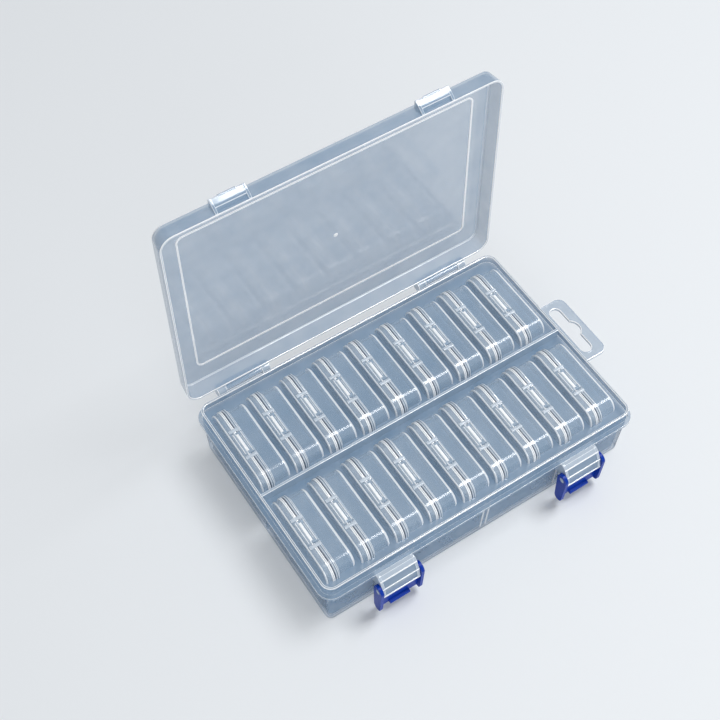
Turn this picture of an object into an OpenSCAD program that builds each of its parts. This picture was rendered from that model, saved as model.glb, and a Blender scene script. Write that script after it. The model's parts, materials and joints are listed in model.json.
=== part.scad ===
// Bead organizer: a clear hinged case with two side latches, holding two rows of
// small lidded boxes that stand on edge. Millimetres, +Z up, hinge side towards +Y,
// hang tab towards +X. Origin: centre of the case's underside.
// The case lid is drawn standing open, the latches hang down.

/* [Small boxes] */
// Number of boxes in each of the two rows
boxes_per_row = 9; // [2:1:12]
// Width of a box, along the case's depth
box_width = 53; // [40:0.5:70]
// Height of a box as it stands on its edge
box_height = 38; // [30:0.5:60]
// Thickness of a box with its lid shut
box_thickness = 17.7; // [12:0.1:30]
// Corner radius of the box outline
box_corner = 8; // [5:0.5:12]
// Wall thickness of the small tubs and lids
box_wall = 1.2; // [0.8:0.1:1.6]
// Depth of a small lid, from its face to its open edge
box_lid_depth = 4; // [3:0.1:6]
// Thickness of the flange round a tub's mouth
box_flange = 3; // [2:0.1:4]
// How far the tub stands back inside its flange
box_inset = 1.6; // [1.4:0.1:2.5]
// Gap between a tub's flange and its lid
box_lid_gap = 0.1; // [0.05:0.05:0.3]

/* [Small box clasp] */
// Length of the clasp tongue along the box's top edge
clasp_length = 14; // [8:0.5:20]
// Thickness of the clasp tongue
clasp_thickness = 1.4; // [1:0.1:2]
// How far the tongue stands above the box outline
clasp_rise = 0.8; // [0.4:0.1:1.2]
// How far the clasp's nose drops behind the flange
clasp_nose = 1; // [0.5:0.1:1.4]
// Radius of the two guard nubs beside the tongue
nub_radius = 1; // [0.6:0.1:1.3]
// Gap between the tongue and each guard nub
nub_gap = 0.8; // [0.4:0.1:1.5]

/* [Small box hinge] */
// Distance between the outer faces of the two lid arms
hinge_arm_spread = 32; // [20:1:36]
// Width of one lid arm
hinge_arm_width = 2.4; // [1.6:0.1:4]
// Radius of the stub pins on the lid arms
hinge_stub_radius = 0.5; // [0.4:0.05:0.6]
// Length of a stub pin past its arm
hinge_stub_length = 1.8; // [1:0.1:3]
// Thickness of the flange's plastic below a stub pin
hinge_stub_wall = 0.42; // [0.3:0.02:0.5]

/* [Spacing in the case] */
// Gap between two boxes of a row
box_gap = 2.85; // [1:0.05:6]
// Gap between an end box and the end wall, at the floor
end_clearance = 1.15; // [0.5:0.05:5]
// Gap between a box and the divider or the long wall, at the floor
row_clearance = 3.2; // [2:0.1:8]
// Gap between the clasps and the shut lid
head_clearance = 0.5; // [0.4:0.05:3]
// Gap between a box and the floor that it stands on
seat_clearance = 0.05; // [0.02:0.01:0.2]

/* [Case base] */
// Thickness of the floor
floor_thickness = 2; // [1.2:0.1:3]
// Thickness of the walls where they meet the floor
wall_thickness = 1.5; // [1.2:0.1:2]
// Thickness of the divider between the two rows
divider_thickness = 1.5; // [1:0.1:3]
// How far the ledge stands out past the foot of the wall
rim_overhang = 3.8; // [3.4:0.1:6]
// Width of the ledge that the lid's rim rests on
ledge_width = 2.14; // [2:0.01:3]
// Thickness of the ledge
ledge_thickness = 1.8; // [1.2:0.1:2.5]
// Height of the lip above the ledge
lip_height = 6.5; // [4:0.1:8]
// Thickness of the lip at its top
lip_thickness = 1.4; // [1:0.05:1.6]
// Corner radius of the ledge
rim_corner = 8; // [7:0.5:12]
// Corner radius at the foot of the wall
foot_corner = 3.5; // [3:0.5:6]
// Height of the locating ribs on the front wall
locating_rib_height = 27.5; // [10:0.5:28]
// Depth of the locating ribs
locating_rib_depth = 1; // [0.6:0.1:1.5]
// Width of a locating rib along the wall
locating_rib_width = 1; // [0.6:0.1:1.5]
// Distance between the two locating ribs of a pair
locating_rib_pitch = 3.2; // [2:0.1:6]
// Distance between neighbouring pairs of locating ribs
locating_rib_spread = 48.1; // [30:0.1:60]

/* [Hang tab] */
// How far the tab stands out past the ledge
tab_reach = 15.7; // [13:0.1:24]
// Width of the tab
tab_width = 42.4; // [38:0.1:60]
// Thickness of the tab
tab_thickness = 2; // [1.5:0.1:3]
// Corner radius of the tab
tab_corner = 5; // [2:0.5:6]
// Shift of the tab from the middle of the end wall, towards the front
tab_shift = 1; // [0:0.5:6]
// Length of the hang slot
slot_length = 32.8; // [26:0.1:34]
// Width of the hang slot
slot_width = 6.4; // [5:0.1:7]
// Distance from the ledge to the slot
slot_setback = 2.8; // [2:0.1:4]
// Width of the round hump in the middle of the slot
hump_width = 11.5; // [8:0.1:12]

/* [Case lid] */
// Depth of the lid, from its rim to the outer face of its plate
lid_depth = 10.9; // [9.5:0.1:14]
// Thickness of the lid's walls
lid_wall = 1.2; // [0.9:0.05:1.25]
// Thickness of the lid's plate
lid_plate = 1.5; // [1.1:0.1:2]
// How far the lid's walls lean in from the rim to the plate
lid_lean = 1.2; // [0.6:0.1:1.3]
// Chamfer along the plate's outer edge
lid_chamfer = 0.9; // [0.4:0.1:1]
// Gap between the shut lid's rim and the ledge
rim_gap = 0.2; // [0.1:0.05:0.5]
// Angle that the lid opens to
open_angle = 91.6; // [80:0.2:110]
// Distance from the lid's ends to the raised border inside the plate
border_inset_ends = 11.8; // [8:0.1:20]
// Distance from the lid's long sides to the raised border
border_inset_sides = 14; // [8:0.1:20]
// Width of the raised border line
border_width = 1; // [0.6:0.1:2]
// Height of the raised border line
border_height = 0.3; // [0.1:0.05:0.35]

/* [Lid hinges] */
// Distance between the middles of the two hinges
hinge_spread = 129.2; // [90:0.1:140]
// Length of one hinge
hinge_length = 32; // [24:0.5:40]
// Length of the ear at each end of a hinge
ear_length = 5; // [3:0.1:8]
// Distance of the hinge axis behind the ledge's edge
hinge_out = 3.3; // [3.2:0.1:5]
// Height of the hinge axis above the ledge
hinge_rise = 0.8; // [0.6:0.1:1.2]
// Radius of the hinge pins
pin_radius = 1.5; // [1.2:0.05:1.7]
// Running clearance round every pin
pin_clearance = 0.08; // [0.02:0.01:0.1]
// Radius of the knuckles and ears
knuckle_radius = 2.9; // [2.4:0.05:2.95]
// Width of the mouth that snaps over the pin
snap_mouth = 2.4; // [1.8:0.1:2.4]
// Gap at each end of a knuckle or a latch
side_gap = 0.2; // [0.1:0.05:0.4]

/* [Latches] */
// Distance between the middles of the two latches
latch_spread = 115; // [60:0.5:130]
// Width of the bracket that carries a latch
bracket_width = 22; // [18:0.5:30]
// Wall thickness of the bracket
bracket_wall = 1.5; // [1.2:0.1:2]
// Distance of the latch pivot in front of the ledge's edge
pivot_out = 5; // [4.8:0.1:5.6]
// Depth of the latch pivot below the top of the ledge
pivot_drop = 8.2; // [7.8:0.1:9]
// Radius of the pivot stubs
pivot_radius = 1.5; // [1.2:0.05:1.8]
// Thickness of a latch cheek
cheek_thickness = 1.8; // [1.2:0.1:2.5]
// Radius of the cheek round its pivot
cheek_radius = 3.7; // [3.2:0.1:4]
// Radius of the cheek's free end
cheek_end_radius = 2.6; // [2:0.1:3.2]
// Thickness of the latch's cross plate
latch_plate = 1.5; // [1:0.1:2]
// Width of the hook nose on the cross plate
nose_width = 12; // [8:0.5:16]
// Height of the hook nose
nose_height = 2.2; // [1.5:0.1:3]
// How far the nose grips behind the catch's crest
nose_grip = 1.6; // [0.8:0.1:2]
// Width of the catch on the lid
catch_width = 19.5; // [14:0.5:20]
// How far the catch's crest stands out past the ledge's edge
catch_out = 4.4; // [3:0.1:4.5]
// Height of the catch's crest above the lid's rim
catch_height = 7.7; // [6:0.1:8]
// Clearance between the shut latch and the catch
catch_clearance = 0.35; // [0.2:0.05:0.6]

/* [Hidden] */
$fn = 48;
hull_fn = 32;
sliver = 0.01;   // thickness of the layers that a drafted block is stretched between
overlap = 0.5;   // how far joined volumes run into each other

// Inner and outer sizes of the case, half lengths along X and Y
box_pitch = box_thickness + box_gap;
row_length = boxes_per_row * box_pitch - box_gap;
floor_half = [row_length / 2 + end_clearance,
              divider_thickness / 2 + 2 * row_clearance + box_width];
foot_half = [floor_half.x + wall_thickness, floor_half.y + wall_thickness];
rim_half = [foot_half.x + rim_overhang, foot_half.y + rim_overhang];
lip_half = [rim_half.x - ledge_width, rim_half.y - ledge_width];
mouth_half = [lip_half.x - lip_thickness, lip_half.y - lip_thickness];
lip_corner = rim_corner - ledge_width;
mouth_corner = lip_corner - lip_thickness;
cavity_corner = foot_corner - 1;

// Heights of the case
box_top = floor_thickness + seat_clearance + box_height;
plate_inner = box_top + clasp_rise + head_clearance;
ledge_top = plate_inner + lid_plate - lid_depth - rim_gap;
lip_top = ledge_top + lip_height;
rim_z = ledge_top + rim_gap;
plate_z = rim_z + lid_depth;
row_centre_y = divider_thickness / 2 + row_clearance + box_width / 2;
// pairs of locating ribs on each side of the middle pair, as many as the wall is long enough for
rib_pairs = floor((floor_half.x - 2 * locating_rib_pitch) / locating_rib_spread);

// Lid hinge axis, as Y and Z, and the turn that stands the lid open
hinge_axis = [rim_half.y + hinge_out, ledge_top + hinge_rise];
knuckle_length = hinge_length - 2 * ear_length - 2 * side_gap;
stop_gap = 0.05; // gap between the open lid's back wall and the ears

// Latch pivot, as distance out from the ledge's edge and height
pivot = [-(rim_half.y + pivot_out), ledge_top - pivot_drop];
latch_gap = bracket_width + 2 * side_gap;
crest_z = rim_z + catch_height;
nose_start = crest_z + catch_clearance - pivot[1];   // nose's near side, from the pivot
plate_face = pivot_out - catch_out - catch_clearance; // plate's inner face, from the pivot
bracket_top_out = 2.1;
plate_start = pivot_drop + 0.4;   // just above the ledge when the latch is shut
latch_end = nose_start + nose_height + 0.4;
arm_length = latch_end + 0.4;

// Small box hinge in the middle of the flange, from the box's lid face and its lower edge
stub_axis_z = hinge_stub_radius + pin_clearance + hinge_stub_wall;
stub_axis_x = box_lid_depth + box_lid_gap + box_flange / 2;
arm_y = (hinge_arm_spread - hinge_arm_width) / 2;
stub_reach = hinge_arm_width / 2 + hinge_stub_length;  // from the arm's middle to the stub's end

front_boxes = [for (i = [1:boxes_per_row]) str("box_front_", i)];
rear_boxes = [for (i = [1:boxes_per_row]) str("box_rear_", i)];

clear_plastic = [0.80, 0.86, 0.93];
clear_box_plastic = [0.87, 0.92, 0.96];
blue_plastic = [0.05, 0.12, 0.72];

// ---- shared shapes ----

// Rectangle with round corners, centred, from its half sizes
module rounded_rectangle(half, corner) {
    square([2 * half.x, 2 * (half.y - corner)], center = true);
    square([2 * (half.x - corner), 2 * half.y], center = true);
    for (sx = [-1, 1], sy = [-1, 1])
        translate([sx * (half.x - corner), sy * (half.y - corner)]) circle(corner);
}

// Thin layer of a rounded block, for the ends of a drafted one
module layer(half, corner, z) {
    translate([0, 0, z]) linear_extrude(sliver) rounded_rectangle(half, corner, $fn = hull_fn);
}

// Block whose walls lean from one outline at z0 to another at z1
module drafted_block(half0, corner0, z0, half1, corner1, z1) {
    hull() {
        layer(half0, corner0, z0);
        layer(half1, corner1, z1 - sliver);
    }
}

// Extrude a Y-Z profile along X, centred on x
module along_x(x, width) {
    translate([x - width / 2, 0, 0]) rotate([90, 0, 90]) linear_extrude(width) children();
}

// ---- case base ----

module tray() {
    difference() {
        union() {
            drafted_block(foot_half, foot_corner, 0, lip_half, lip_corner, ledge_top);
            translate([0, 0, ledge_top - ledge_thickness])
                linear_extrude(ledge_thickness) rounded_rectangle(rim_half, rim_corner);
            translate([0, 0, ledge_top - overlap])
                linear_extrude(lip_height + overlap) rounded_rectangle(lip_half, lip_corner);
            hang_tab();
        }
        drafted_block(floor_half, cavity_corner, floor_thickness,
                      mouth_half, mouth_corner, lip_top + sliver);
    }
}

// The divider's ends follow the leaning end walls and stay inside them
module divider() {
    foot_reach = floor_half.x + wall_thickness / 2;
    top_reach = mouth_half.x + lip_thickness / 2;
    rotate([90, 0, 0]) translate([0, 0, -divider_thickness / 2])
        linear_extrude(divider_thickness)
            polygon([[-foot_reach, floor_thickness - overlap], [foot_reach, floor_thickness - overlap],
                     [top_reach, lip_top], [-top_reach, lip_top]]);
}

// Inner face of the long wall at height z, as a distance from the middle
function wall_face(z) = floor_half.y
    + (mouth_half.y - floor_half.y) * (z - floor_thickness) / (lip_top - floor_thickness);

module locating_ribs() {
    top = floor_thickness + locating_rib_height;
    for (pair = [-rib_pairs:rib_pairs], side = [-1, 1])
        along_x(pair * locating_rib_spread + side * locating_rib_pitch / 2 + locating_rib_pitch,
                locating_rib_width)
            polygon([[-wall_face(floor_thickness) - overlap, floor_thickness - overlap],
                     [-wall_face(floor_thickness) + locating_rib_depth, floor_thickness - overlap],
                     [-wall_face(top) + locating_rib_depth, top],
                     [-wall_face(top) - overlap, top]]);
}

module hang_tab() {
    slot_x = rim_half.x + slot_setback + slot_width / 2;
    tab_half = [tab_reach, tab_width / 2];
    translate([0, -tab_shift, ledge_top - tab_thickness]) linear_extrude(tab_thickness)
        difference() {
            translate([rim_half.x, 0]) rounded_rectangle(tab_half, tab_corner);
            translate([rim_half.x - tab_reach - tab_corner, -tab_width])
                square([tab_reach + tab_corner - ledge_width, 2 * tab_width]);
            translate([slot_x, 0]) hang_slot();
        }
}

// Slot with round ends and a round hump in the middle of its outer side
module hang_slot() {
    end_y = (slot_length - slot_width) / 2;
    hump_shift = 0.1;
    square([slot_width, 2 * end_y], center = true);
    for (side = [-1, 1]) translate([0, side * end_y]) circle(slot_width / 2);
    intersection() {
        translate([hump_shift, 0]) circle(hump_width / 2);
        translate([0, -hump_width / 2]) square([hump_width, hump_width]);
    }
}

// Half of the ear's outline is a round knuckle; the other half is a heel whose top
// lies along the back wall of the lid when the lid stands open
module ear_profile() {
    translate(hinge_axis) difference() {
        union() {
            circle(knuckle_radius);
            translate([-hinge_out - overlap, -knuckle_radius])
                square([hinge_out + overlap, knuckle_radius - hinge_rise]);
            translate([0, -knuckle_radius]) square([knuckle_radius, 2 * knuckle_radius + 1]);
        }
        rotate(-open_angle) translate(-hinge_axis) back_wall_space(stop_gap);
    }
}

// Room that the lid's back wall takes up when shut, grown towards the hinge by a gap
module back_wall_space(gap) {
    top = plate_z + 2 * overlap;
    lean = lid_lean * (top - rim_z) / lid_depth;
    inner = rim_half.y - rim_corner;
    polygon([[rim_half.y + gap, rim_z], [rim_half.y - lean + gap, top], [inner, top], [inner, rim_z]]);
}

module base_hinge(x) {
    for (side = [-1, 1])
        along_x(x + side * (hinge_length - ear_length) / 2, ear_length) ear_profile();
    along_x(x, hinge_length - ear_length) translate(hinge_axis) circle(pin_radius);
}

// Outline of the latch bracket: distance out from the ledge's edge, height from its top
bracket_outline = [[bracket_top_out, 0], [4.2, -1.9], [6.6, -6.2], [7.9, -12]];
bracket_root = -(rim_overhang - ledge_width / 2);

function bracket_point(p, inwards) = [-(rim_half.y + p.x - inwards), ledge_top + p.y];

module bracket_profile(inwards, top, bottom) {
    points = [for (p = bracket_outline) bracket_point(p, inwards)];
    polygon(concat([bracket_point([bracket_root, top], 0), bracket_point([bracket_top_out, top], inwards)],
                   [for (i = [1:len(points) - 1]) points[i]],
                   [bracket_point([bracket_outline[3].x, bottom], inwards),
                    bracket_point([bracket_root, bottom], 0)]));
}

module bracket(x) {
    ridge_radius = 0.45;
    notch_radius = 4.2;
    foot = bracket_outline[3].y;
    difference() {
        along_x(x, bracket_width) bracket_profile(0, 0, foot);
        along_x(x, bracket_width - 2 * bracket_wall)
            bracket_profile(bracket_wall, -bracket_wall, foot - overlap);
        along_x(x, bracket_width + 2 * overlap)
            translate(bracket_point([0.2, foot - 1], 0)) circle(notch_radius);
    }
    for (i = [1:3])
        along_x(x, bracket_width)
            translate(bracket_point(bracket_outline[i], 0.15)) circle(ridge_radius, $fn = 16);
    for (side = [-1, 1])
        along_x(x + side * (bracket_width + cheek_thickness + side_gap - bracket_wall) / 2,
                cheek_thickness + side_gap + bracket_wall)
            translate(pivot) circle(pivot_radius);
}

module case_base() color(clear_plastic) {
    tray();
    divider();
    locating_ribs();
    for (side = [-1, 1]) {
        base_hinge(side * hinge_spread / 2);
        bracket(side * latch_spread / 2);
    }
}

// ---- case lid ----

// Half size of the lid's outer face at a height above its rim
function lid_half(height) = [rim_half.x - lid_lean * height / lid_depth,
                             rim_half.y - lid_lean * height / lid_depth];
function inside(half, wall) = [half.x - wall, half.y - wall];

module lid_shell() {
    shoulder = lid_depth - lid_chamfer;
    inner_height = plate_inner - rim_z;
    difference() {
        hull() {
            layer(rim_half, rim_corner, rim_z);
            layer(lid_half(shoulder), rim_corner - lid_lean, rim_z + shoulder);
            layer(inside(lid_half(lid_depth), lid_chamfer), rim_corner - lid_lean - lid_chamfer,
                  plate_z - sliver);
        }
        drafted_block(inside(rim_half, lid_wall), rim_corner - lid_wall, rim_z - sliver,
                      inside(lid_half(inner_height), lid_wall), rim_corner - lid_wall - lid_lean,
                      plate_inner);
    }
}

module plate_border() {
    outer = [rim_half.x - border_inset_ends, rim_half.y - border_inset_sides];
    corner = 4;
    translate([0, 0, plate_inner - border_height]) linear_extrude(border_height + overlap)
        difference() {
            rounded_rectangle(outer, corner);
            rounded_rectangle(inside(outer, border_width), corner - border_width);
        }
}

module catch(x) {
    root = -lid_lean - lid_wall / 2;
    // the catch's rounded ramp, as parts of its height and of its reach
    ramp = [[0.04, 0.05], [0.34, 0.5], [0.66, 0.84], [0.935, 1], [1, 0.94]];
    along_x(x, catch_width)
        polygon(concat([[-(rim_half.y + root), rim_z + ramp[0][0] * catch_height]],
                       [for (p = ramp) [-(rim_half.y + p[1] * catch_out), rim_z + p[0] * catch_height]],
                       [[-(rim_half.y + root), crest_z]]));
}

module lid_knuckle(x) {
    leaf_depth = hinge_out + lid_wall / 2;
    leaf_height = knuckle_radius - 0.3;
    along_x(x, knuckle_length) translate(hinge_axis) difference() {
        union() {
            circle(knuckle_radius);
            translate([-leaf_depth, knuckle_radius - leaf_height]) square([leaf_depth, leaf_height]);
        }
        circle(pin_radius + pin_clearance);
        translate([-snap_mouth / 2, -knuckle_radius - 1]) square([snap_mouth, knuckle_radius + 1]);
    }
}

// Turn the shut lid about its hinge to where it stands open
module stand_open() {
    translate([0, hinge_axis[0], hinge_axis[1]]) rotate([-open_angle, 0, 0])
        translate([0, -hinge_axis[0], -hinge_axis[1]]) children();
}

module case_lid() color(clear_plastic) stand_open() {
    lid_shell();
    plate_border();
    for (side = [-1, 1]) {
        catch(side * latch_spread / 2);
        lid_knuckle(side * hinge_spread / 2);
    }
}

// ---- latches ----

module cheek_profile() {
    difference() {
        union() {
            circle(cheek_radius);
            polygon([[-cheek_radius, 0], [cheek_radius, 0],
                     [cheek_end_radius, cheek_end_radius - arm_length],
                     [-cheek_end_radius, cheek_end_radius - arm_length]]);
            translate([0, cheek_end_radius - arm_length]) circle(cheek_end_radius);
        }
        circle(pivot_radius + pin_clearance);
    }
}

// The latch hangs: its nose points away from the case and turns to face it when shut
module latch(x) color(blue_plastic) {
    grip = catch_clearance + nose_grip;
    thumb = 1.5;
    for (side = [-1, 1])
        along_x(x + side * (latch_gap + cheek_thickness) / 2, cheek_thickness)
            translate(pivot) cheek_profile();
    along_x(x, latch_gap + 2 * overlap) translate(pivot) {
        translate([-plate_face, -latch_end]) square([latch_plate, latch_end - plate_start]);
        translate([-plate_face, -latch_end]) square([latch_plate + thumb, latch_plate - 0.3]);
    }
    along_x(x, nose_width) translate(pivot) translate([-plate_face - grip, -nose_start - nose_height])
        square([grip + overlap, nose_height]);
}

// ---- small boxes ----
// A box is drawn with its lid face at x = 0, its middle at y = 0 and its foot at z = 0

// Slice of the box's outline between two distances from the lid face
module box_slice(start, end, inset) {
    half = [box_width / 2 - inset, box_height / 2 - inset];
    translate([start, 0, box_height / 2]) rotate([90, 0, 90])
        linear_extrude(end - start) rounded_rectangle(half, box_corner - inset);
}

module nub(side, start, end) {
    y = side * (clasp_length / 2 + nub_gap + nub_radius);
    translate([start, y, box_height + clasp_rise - nub_radius]) rotate([0, 90, 0])
        cylinder(r = nub_radius, h = end - start, $fn = 24);
}

flange_start = box_lid_depth + box_lid_gap;
flange_end = flange_start + box_flange;

module tub() color(clear_box_plastic) {
    nub_end = flange_end + 0.8;
    recess = clasp_thickness - clasp_rise + box_lid_gap;
    difference() {
        union() {
            box_slice(flange_start, flange_end, 0);
            box_slice(flange_start, box_thickness, box_inset);
            for (side = [-1, 1]) nub(side, 0.4, nub_end);
        }
        box_slice(flange_start - overlap, box_thickness - box_wall, box_inset + box_wall);
        // room for the lid under the overhanging nubs, for its tongue and for its two arms
        translate([0, -box_width / 2, 0])
            cube([flange_start, box_width, box_height + box_lid_gap]);
        translate([flange_start - 1, -clasp_length / 2 - nub_gap / 2, box_height - recess])
            cube([box_flange + 2, clasp_length + nub_gap, recess + 2]);
        for (side = [-1, 1]) {
            arm_slot(side);
            stub(side, hinge_stub_radius + pin_clearance, stub_reach + side_gap);
        }
    }
}

// Slot in the flange for a lid arm
module arm_slot(side) {
    slot_end = stub_axis_x + stub_axis_z + 0.15;
    translate([flange_start - 1, side * arm_y - hinge_arm_width / 2 - side_gap, -1])
        cube([slot_end - flange_start + 1, hinge_arm_width + 2 * side_gap,
              2 * stub_axis_z + box_lid_gap + 1]);
}

// Stub pin, or its hole, from the middle of a lid arm towards the box's middle
module stub(side, radius, reach) {
    translate([stub_axis_x, side > 0 ? arm_y - reach : -arm_y, stub_axis_z])
        rotate([-90, 0, 0]) cylinder(r = radius, h = reach, $fn = 24);
}

module box_cover() color(clear_box_plastic) {
    difference() {
        box_slice(0, box_lid_depth, 0);
        box_slice(box_wall, box_lid_depth + 1, box_wall);
    }
    clasp();
    for (side = [-1, 1]) lid_arm(side);
}

module clasp() {
    tongue_end = flange_end + box_lid_gap + 0.9;
    top = box_height + clasp_rise;
    translate([0.6, -clasp_length / 2, top - clasp_thickness])
        cube([tongue_end - 0.6, clasp_length, clasp_thickness]);
    translate([flange_end + box_lid_gap, -clasp_length / 2, box_height - clasp_nose])
        cube([0.9, clasp_length, top - box_height + clasp_nose]);
}

module lid_arm(side) {
    translate([box_wall / 2, side * arm_y - hinge_arm_width / 2, 0])
        cube([stub_axis_x - box_wall / 2, hinge_arm_width, 2 * stub_axis_z]);
    translate([stub_axis_x, side * arm_y - hinge_arm_width / 2, stub_axis_z]) rotate([-90, 0, 0])
        cylinder(r = stub_axis_z, h = hinge_arm_width, $fn = 24);
    stub(side, hinge_stub_radius, stub_reach);
}

// Put box number i, counted from the left, into its row
module in_place(i, row) {
    translate([(i - 1) * box_pitch - row_length / 2, row * row_centre_y,
               floor_thickness + seat_clearance]) children();
}

case_base();
case_lid();
latch(-latch_spread / 2);  // latch_left
latch(latch_spread / 2);  // latch_right
for (i = [1:boxes_per_row]) {
    in_place(i, -1) tub();
    in_place(i, -1) box_cover();
    in_place(i, 1) tub();
    in_place(i, 1) box_cover();
}
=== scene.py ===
"""Looks of the bead organizer: its moulded shells, latches and small boxes, and the studio.

Shapes are drawn in millimetres in the frame of the solids and made metres as each piece is
finished.
"""

import json
import math
import bmesh
import bpy
from bpy.props import FloatProperty, FloatVectorProperty, IntProperty, PointerProperty
from mathutils import Matrix, Vector

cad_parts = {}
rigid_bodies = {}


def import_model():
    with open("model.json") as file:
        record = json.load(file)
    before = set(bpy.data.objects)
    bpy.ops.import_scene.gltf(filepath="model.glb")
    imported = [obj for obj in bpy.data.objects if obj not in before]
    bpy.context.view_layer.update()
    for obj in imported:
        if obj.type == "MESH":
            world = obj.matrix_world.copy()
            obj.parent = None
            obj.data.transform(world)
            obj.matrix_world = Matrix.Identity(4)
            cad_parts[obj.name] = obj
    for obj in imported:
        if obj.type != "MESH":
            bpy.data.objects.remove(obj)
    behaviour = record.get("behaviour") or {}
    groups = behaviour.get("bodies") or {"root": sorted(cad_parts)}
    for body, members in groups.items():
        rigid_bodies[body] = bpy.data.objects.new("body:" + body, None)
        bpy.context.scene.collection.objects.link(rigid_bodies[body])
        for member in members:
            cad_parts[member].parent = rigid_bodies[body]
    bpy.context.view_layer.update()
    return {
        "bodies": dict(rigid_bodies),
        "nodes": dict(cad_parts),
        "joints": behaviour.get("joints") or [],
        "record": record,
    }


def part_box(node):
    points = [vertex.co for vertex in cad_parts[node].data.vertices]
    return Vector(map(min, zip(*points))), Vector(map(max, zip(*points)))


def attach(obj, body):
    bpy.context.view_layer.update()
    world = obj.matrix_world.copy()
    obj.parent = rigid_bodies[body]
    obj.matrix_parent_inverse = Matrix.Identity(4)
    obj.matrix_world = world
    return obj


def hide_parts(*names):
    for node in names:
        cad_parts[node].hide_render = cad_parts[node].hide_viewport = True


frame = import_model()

bl_info = {
    "name": "Bead Organizer Looks",
    "version": (1, 0, 0),
    "blender": (4, 5, 0),
    "location": "3D View > Sidebar > Organizer",
    "description": "Moulded case, latches and small boxes of a bead organizer, with its studio",
    "category": "Object",
}

MM = 0.001
JOINTS = {joint["name"]: joint for joint in frame["joints"]}

# Outlines of the case in millimetres: half length, half depth, corner radius
FOOT = (93.7, 61.65, 3.5)
LEDGE = (97.5, 65.45, 8.0)
LIP = (95.36, 63.31, 5.86)
MOUTH = (93.96, 61.91, 4.46)
FLOOR = (92.2, 60.15, 2.5)
# Heights of the case
FLOOR_TOP = 2.0
LEDGE_UNDERSIDE = 29.95
LEDGE_TOP = 31.75
LIP_TOP = 38.25
# Where the tray's wall leans out to at the ledge's underside
WALL_TOP_PART = LEDGE_UNDERSIDE / LEDGE_TOP
DIVIDER_THICKNESS = 1.5
# Locating ribs stand in pairs inside the front wall
RIB_PAIRS = (-48.1, 0.0, 48.1)
RIBS_OF_A_PAIR = (1.6, 4.8)
RIB_WIDTH = 1.0

# The lid, as it is when shut
LID_RIM_Z = 31.95
LID_INNER_Z = 41.35
LID_OUTER_Z = 42.85
LID_RIM_INSIDE = (96.3, 64.25, 6.8)
LID_SHOULDER = (96.4, 64.35, 6.8)
LID_PLATE = (95.4, 63.35, 5.9)
LID_PLATE_INSIDE = (95.265, 63.215, 5.6)
LID_SHOULDER_Z = LID_OUTER_Z - 0.9
LID_BORDER = (85.7, 51.45, 4.0)
LID_BORDER_INSIDE = (84.7, 50.45, 3.0)
GATE_MARK = (2.0, 2.0)
HINGE = Vector(JOINTS["lid_hinge"]["pos_m"]) / MM
STAND_OPEN = (
    Matrix.Translation(HINGE)
    @ Matrix.Rotation(math.radians(JOINTS["lid_hinge"]["range_deg"][0]), 4, "X")
    @ Matrix.Translation(-HINGE)
)
HINGE_MIDDLES = (-64.6, 64.6)
PIN_RADIUS = 1.5
BORE_RADIUS = 1.58
LATCH_PIVOTS = {
    side: Vector(JOINTS[f"latch_{side}_pivot"]["pos_m"]) / MM for side in ("left", "right")
}

# Small boxes: half width, half height, corner radius
BOX = (26.5, 19.0, 8.0)
BOX_HALF_HEIGHT = BOX[1]
BOX_WALL = 1.2
BOX_INSET = 1.6
# and their depths, measured from the face of their lid
LID_DEPTH = 4.0
FLANGE_START = 4.1
FLANGE_END = 7.1
BOX_DEPTH = 17.7
# Places across a small box
HINGE_ARMS = (-14.8, 14.8)
GUARD_NUBS = (-8.8, 8.8)

# Turns a shape drawn across (u, v) and extruded along w so that it runs along X, or across
# the case
ALONG_X = Matrix(((0, 0, 1, 0), (1, 0, 0, 0), (0, 1, 0, 0), (0, 0, 0, 1)))
ACROSS = Matrix(((1, 0, 0, 0), (0, 0, -1, 0), (0, 1, 0, 0), (0, 0, 0, 1)))

# Turns an outline drawn along (w, v) and extruded along u for a shape that ALONG_X turns next
TONGUE_TURN = Matrix(((0, 0, 1, 0), (0, 1, 0, 0), (1, 0, 0, 0), (0, 0, 0, 1)))

# Face attribute: how white a face is drawn, from 0 on a plain wall to 1 on a bright edge, and
# down to -1 on dark lines along joints and grooves. The white is partly the milky look of thick
# plastic and partly painted highlight; the dark is painted shade
MILK_AND_PAINTED_LIGHT = "pale_edge"
# Steps round a drawn corner, round a pin and round a ridge
ARC_STEPS = 8
PIN_STEPS = 24
RIDGE_STEPS = 12
# Faces that meet at more than this are rounded, and shaded apart
ROUNDED_FROM = math.radians(28)
CREASED_FROM = math.radians(40)


def colour(code):
    """Linear colour from an sRGB hex code such as #8FA3BC"""
    parts = [int(code[i : i + 2], 16) / 255 for i in (1, 3, 5)]
    linear = [c / 12.92 if c <= 0.04045 else ((c + 0.055) / 1.055) ** 2.4 for c in parts]
    return (*linear, 1.0)


# ---- sizes and colours that a user would change ----


def radius_setting(name, description, default, least, most):
    """Property for a radius; the numbers are millimetres"""
    return FloatProperty(
        name=name,
        description=description,
        default=default * MM,
        min=least * MM,
        max=most * MM,
        precision=5,
        unit="LENGTH",
    )


def colour_setting(name, description, code):
    """Property for a colour, whose default is an sRGB hex code"""
    return FloatVectorProperty(
        name=name,
        description=description,
        default=colour(code),
        min=0.0,
        max=1.0,
        size=4,
        subtype="COLOR",
    )


def share_setting(name, description, default):
    """Property for a share between 0 and 1"""
    return FloatProperty(
        name=name, description=description, default=default, min=0.0, max=1.0, subtype="FACTOR"
    )


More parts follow.
